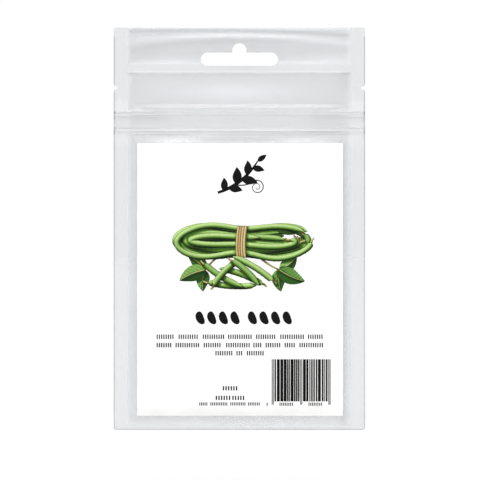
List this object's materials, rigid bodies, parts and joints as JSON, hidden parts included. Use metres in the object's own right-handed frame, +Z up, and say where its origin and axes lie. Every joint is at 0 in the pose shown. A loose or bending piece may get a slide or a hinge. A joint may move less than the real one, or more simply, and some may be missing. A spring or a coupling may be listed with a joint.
{
  "type": "resealable hanging seed packet",
  "caption": "Flat clear-film pouch that hangs by a peaked slot, with a press-to-close zip, tear notches, a front paper label and loose kidney-shaped seeds inside.",
  "frame": {"origin": "top of the hang slot's round peak, where a peg bears, midway between the two webs", "axes": "+Z up, -Y out of the labelled front, +X to the right seen from the front"},
  "size_m": [0.1, 0.0047, 0.16],
  "materials": {
    "film": "frosted clear pouch film, soft gloss",
    "zip": "natural milky plastic, drawn along the strip",
    "label": "smooth white label paper, printed",
    "seed": "dry seed coat, satin red-brown"
  },
  "bodies": {
    "root": {"film_front": "film", "film_back": "film", "zip_ribs": "zip", "zip_channels": "zip", "label": "label", "seed_01": "seed", "seed_02": "seed", "seed_03": "seed", "seed_04": "seed", "seed_05": "seed", "seed_06": "seed", "seed_07": "seed", "seed_08": "seed", "seed_09": "seed", "seed_10": "seed", "seed_11": "seed", "seed_12": "seed"}
  },
  "joints": []
}
